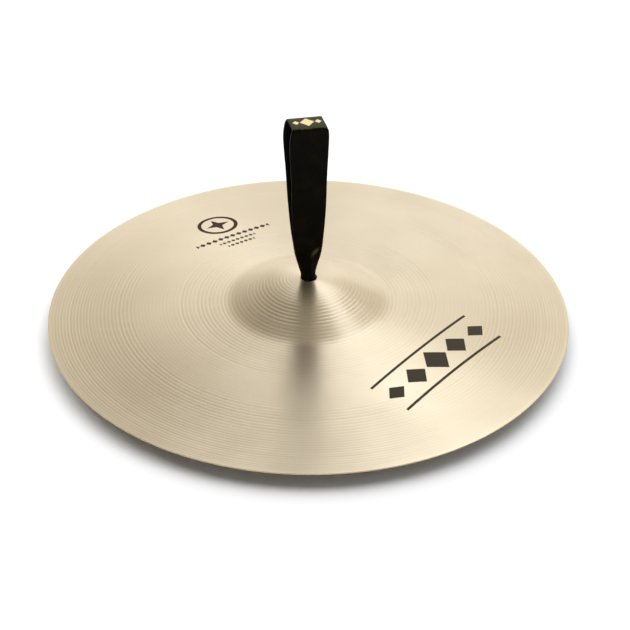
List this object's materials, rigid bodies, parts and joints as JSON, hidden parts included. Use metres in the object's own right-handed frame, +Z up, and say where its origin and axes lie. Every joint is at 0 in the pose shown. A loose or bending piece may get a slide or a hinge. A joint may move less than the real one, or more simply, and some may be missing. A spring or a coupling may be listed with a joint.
{
  "type": "suspended cymbal",
  "caption": "Orchestral cymbal of lathed bronze, bell up, with a leather hand strap knotted through its bell hole.",
  "frame": {"origin": "centre of the plane that the rim rests on", "axes": "+Z up through the bell hole; X along the strap's width; Y across the strap's loop"},
  "size_m": [0.4064, 0.4064, 0.1855],
  "materials": {
    "bronze": "satin",
    "strap_leather": "satin"
  },
  "bodies": {
    "cymbal": {"cymbal": "bronze"},
    "knot": {"tail_back_right": "strap_leather", "tail_back_left": "strap_leather", "tail_front_left": "strap_leather", "tail_front_right": "strap_leather"},
    "neck": {"strap_neck": "strap_leather"},
    "loop": {"strap_loop": "strap_leather"}
  },
  "joints": [
    {"name": "strap_spin", "type": "hinge", "parent": "cymbal", "child": "knot", "pos_m": [0, 0, 0.043], "axis": [0, 0, 1], "continuous": true},
    {"name": "strap_sway", "type": "hinge", "parent": "knot", "child": "neck", "pos_m": [0, 0, 0.05], "axis": [0, 1, 0], "range_deg": [-40, 40], "stiffness_Nm_per_rad": 0.12},
    {"name": "strap_lean", "type": "hinge", "parent": "neck", "child": "loop", "pos_m": [0, 0, 0.059], "axis": [1, 0, 0], "range_deg": [-85, 85], "stiffness_Nm_per_rad": 0.12}
  ]
}
